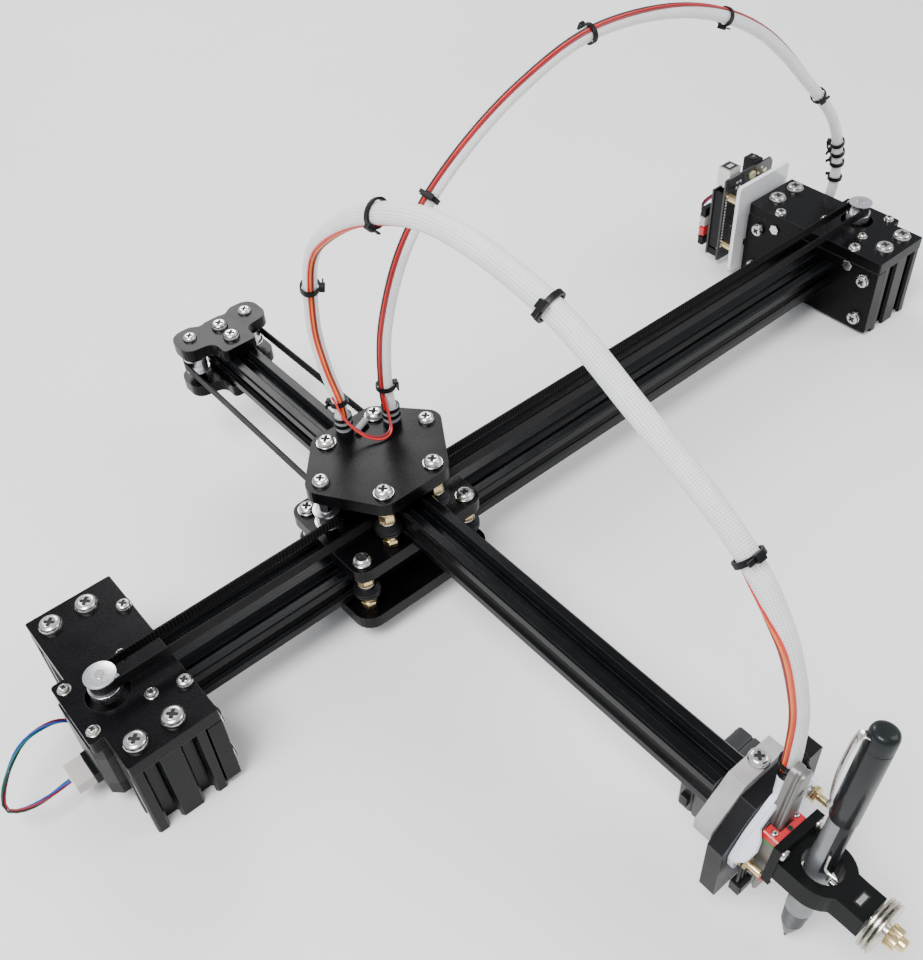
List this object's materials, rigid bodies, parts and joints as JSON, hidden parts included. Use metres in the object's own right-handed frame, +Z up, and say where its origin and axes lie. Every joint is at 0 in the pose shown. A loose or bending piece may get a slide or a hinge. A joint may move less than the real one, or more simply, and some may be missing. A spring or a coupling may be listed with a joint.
{
  "type": "desktop pen plotter",
  "caption": "Belt-driven desktop pen plotter: a beam on short legs carries a wheeled carriage, a long sliding arm with a pen lift head, motors, a controller board and arched cable sleeves.",
  "frame": {"origin": "centre of the footprint at floor level, cords left out", "axes": "+X along the beam to the viewer's right, +Y along the arm away from the pen, +Z up"},
  "size_m": [0.6829, 0.5114, 0.2679],
  "materials": {
    "black_plate": "satin",
    "black_profile": "satin",
    "motor_black": "satin",
    "pulley_metal": "satin",
    "axle_metal": "satin",
    "wheel_black": "matte",
    "grey_bracket": "matte",
    "dark_plate": "matte",
    "white_plastic": "gloss",
    "servo_black": "satin",
    "rail_steel": "satin",
    "block_red": "satin",
    "holder_black": "matte",
    "pen_black": "satin",
    "thumb_metal": "satin",
    "belt_rubber": "matte",
    "white_acrylic": "gloss",
    "board_black": "satin",
    "sleeve_white": "matte",
    "plug_white": "satin",
    "lead_insulation": "satin"
  },
  "bodies": {
    "frame": {"x_beam": "black_profile", "leg_left_front": "black_profile", "leg_left_rear": "black_profile", "leg_right_front": "black_profile", "leg_right_rear": "black_profile", "bracket_deck_left": "black_plate", "bracket_deck_right": "black_plate", "bracket_end_plate_left": "black_plate", "bracket_end_plate_right": "black_plate", "motor_left": "motor_black", "motor_right": "motor_black", "controller_mount": "white_acrylic", "controller_board": "board_black", "belt_beam_left": "belt_rubber", "belt_beam_right": "belt_rubber", "cable_beam": "sleeve_white", "motor_lead": "lead_insulation", "motor_lead_plug": "plug_white"},
    "carriage": {"carriage_bottom_plate": "black_plate", "carriage_middle_plate": "black_plate", "carriage_top_plate": "black_plate", "x_axle_front_left": "axle_metal", "x_axle_front_right": "axle_metal", "x_axle_rear_right": "axle_metal", "x_axle_rear_left": "axle_metal", "y_axle_front_left": "axle_metal", "y_axle_front_right": "axle_metal", "y_axle_rear_right": "axle_metal", "y_axle_rear_left": "axle_metal", "cable_arm": "sleeve_white"},
    "arm": {"y_arm": "black_profile", "rear_top_plate": "black_plate", "rear_bottom_plate": "black_plate", "head_bracket": "grey_bracket", "head_plate": "dark_plate", "lift_backing_plate": "white_plastic", "lift_servo": "servo_black", "lift_rail": "rail_steel", "belt_arm_left": "belt_rubber", "belt_arm_right": "belt_rubber", "belt_rear": "belt_rubber"},
    "pen_carriage": {"lift_block": "block_red", "pen_holder": "holder_black"},
    "pen": {"pen": "pen_black"},
    "thumb_screw": {"thumb_screw": "thumb_metal"},
    "servo_horn": {"servo_horn": "white_plastic"},
    "drive_pulley_left": {"drive_pulley_left": "pulley_metal"},
    "drive_pulley_right": {"drive_pulley_right": "pulley_metal"},
    "x_wheel_front_left": {"x_wheel_front_left": "wheel_black"},
    "x_wheel_front_right": {"x_wheel_front_right": "wheel_black"},
    "x_wheel_rear_right": {"x_wheel_rear_right": "wheel_black"},
    "x_wheel_rear_left": {"x_wheel_rear_left": "wheel_black"},
    "y_wheel_front_left": {"y_wheel_front_left": "wheel_black"},
    "y_wheel_front_right": {"y_wheel_front_right": "wheel_black"},
    "y_wheel_rear_right": {"y_wheel_rear_right": "wheel_black"},
    "y_wheel_rear_left": {"y_wheel_rear_left": "wheel_black"},
    "wing_idler_left": {"wing_idler_left": "axle_metal"},
    "wing_idler_right": {"wing_idler_right": "axle_metal"},
    "rear_idler_left": {"rear_idler_left": "axle_metal"},
    "rear_idler_right": {"rear_idler_right": "axle_metal"}
  },
  "joints": [
    {"name": "x_slide", "type": "slide", "parent": "frame", "child": "carriage", "axis": [1, 0, 0], "range_m": [-0.092, 0.33], "deforming": ["belt_beam_left", "belt_beam_right", "cable_beam"]},
    {"name": "y_slide", "type": "slide", "parent": "carriage", "child": "arm", "axis": [0, 1, 0], "range_m": [-0.1, 0.183], "deforming": ["belt_arm_left", "belt_arm_right", "belt_rear", "cable_arm"]},
    {"name": "pen_lift", "type": "slide", "parent": "arm", "child": "pen_carriage", "axis": [0.165, 0, 0.9863], "range_m": [0, 0.01]},
    {"name": "pen_adjust", "type": "slide", "parent": "pen_carriage", "child": "pen", "axis": [0.165, 0, 0.9863], "range_m": [-0.0045, 0.022]},
    {"name": "thumb_screw_turn", "type": "hinge", "parent": "pen_carriage", "child": "thumb_screw", "pos_m": [-0.11449, 0.07575, 0.05627], "axis": [0, 1, 0], "continuous": true},
    {"name": "servo_horn_turn", "type": "hinge", "parent": "arm", "child": "servo_horn", "pos_m": [-0.0948, -0.18495, 0.047], "axis": [0, 1, 0], "range_deg": [0, 42]},
    {"name": "drive_pulley_left_spin", "type": "hinge", "parent": "frame", "child": "drive_pulley_left", "pos_m": [-0.2963, 0.06465, 0.0713], "axis": [0, 0, 1], "range_deg": [-840, 2980]},
    {"name": "drive_pulley_right_spin", "type": "hinge", "parent": "frame", "child": "drive_pulley_right", "pos_m": [0.2963, 0.06465, 0.0713], "axis": [0, 0, 1], "range_deg": [-840, 2980]},
    {"name": "x_wheel_front_left_spin", "type": "hinge", "parent": "carriage", "child": "x_wheel_front_left", "pos_m": [-0.1544, 0.04985, 0.0355], "axis": [0, 0, 1], "range_deg": [-800, 2830]},
    {"name": "x_wheel_front_right_spin", "type": "hinge", "parent": "carriage", "child": "x_wheel_front_right", "pos_m": [-0.083, 0.04985, 0.0355], "axis": [0, 0, 1], "range_deg": [-800, 2830]},
    {"name": "x_wheel_rear_right_spin", "type": "hinge", "parent": "carriage", "child": "x_wheel_rear_right", "pos_m": [-0.083, 0.10165, 0.0355], "axis": [0, 0, 1], "range_deg": [-2830, 800]},
    {"name": "x_wheel_rear_left_spin", "type": "hinge", "parent": "carriage", "child": "x_wheel_rear_left", "pos_m": [-0.1544, 0.10165, 0.0355], "axis": [0, 0, 1], "range_deg": [-2830, 800]},
    {"name": "y_wheel_front_left_spin", "type": "hinge", "parent": "carriage", "child": "y_wheel_front_left", "pos_m": [-0.135, 0.04995, 0.0713], "axis": [0, 0, 1], "range_deg": [-870, 1580]},
    {"name": "y_wheel_front_right_spin", "type": "hinge", "parent": "carriage", "child": "y_wheel_front_right", "pos_m": [-0.1024, 0.04995, 0.0713], "axis": [0, 0, 1], "range_deg": [-1580, 870]},
    {"name": "y_wheel_rear_right_spin", "type": "hinge", "parent": "carriage", "child": "y_wheel_rear_right", "pos_m": [-0.1024, 0.10155, 0.0713], "axis": [0, 0, 1], "range_deg": [-1580, 870]},
    {"name": "y_wheel_rear_left_spin", "type": "hinge", "parent": "carriage", "child": "y_wheel_rear_left", "pos_m": [-0.135, 0.10155, 0.0713], "axis": [0, 0, 1], "range_deg": [-870, 1580]},
    {"name": "wing_idler_left_spin", "type": "hinge", "parent": "carriage", "child": "wing_idler_left", "pos_m": [-0.1541, 0.07935, 0.0713], "axis": [0, 0, 1], "range_deg": [-5160, 1450]},
    {"name": "wing_idler_right_spin", "type": "hinge", "parent": "carriage", "child": "wing_idler_right", "pos_m": [-0.0833, 0.07935, 0.0713], "axis": [0, 0, 1], "range_deg": [-5160, 1450]},
    {"name": "rear_idler_left_spin", "type": "hinge", "parent": "arm", "child": "rear_idler_left", "pos_m": [-0.1386, 0.24515, 0.0713], "axis": [0, 0, 1], "range_deg": [-1450, 5160]},
    {"name": "rear_idler_right_spin", "type": "hinge", "parent": "arm", "child": "rear_idler_right", "pos_m": [-0.0988, 0.24515, 0.0713], "axis": [0, 0, 1], "range_deg": [-1450, 5160]}
  ],
  "couplings": [
    {"joint": "servo_horn_turn", "follows": "pen_lift", "rad_per_m": 72},
    {"joint": "drive_pulley_left_spin", "follows": "x_slide", "rad_per_m": 157},
    {"joint": "drive_pulley_right_spin", "follows": "x_slide", "rad_per_m": 157},
    {"joint": "x_wheel_front_left_spin", "follows": "x_slide", "rad_per_m": 149},
    {"joint": "x_wheel_front_right_spin", "follows": "x_slide", "rad_per_m": 149},
    {"joint": "x_wheel_rear_right_spin", "follows": "x_slide", "rad_per_m": -149},
    {"joint": "x_wheel_rear_left_spin", "follows": "x_slide", "rad_per_m": -149},
    {"joint": "y_wheel_front_left_spin", "follows": "y_slide", "rad_per_m": 149},
    {"joint": "y_wheel_front_right_spin", "follows": "y_slide", "rad_per_m": -149},
    {"joint": "y_wheel_rear_right_spin", "follows": "y_slide", "rad_per_m": -149},
    {"joint": "y_wheel_rear_left_spin", "follows": "y_slide", "rad_per_m": 149},
    {"joint": "wing_idler_left_spin", "follows": "x_slide", "rad_per_m": -272},
    {"joint": "wing_idler_right_spin", "follows": "x_slide", "rad_per_m": -272},
    {"joint": "rear_idler_left_spin", "follows": "x_slide", "rad_per_m": 272},
    {"joint": "rear_idler_right_spin", "follows": "x_slide", "rad_per_m": 272}
  ]
}
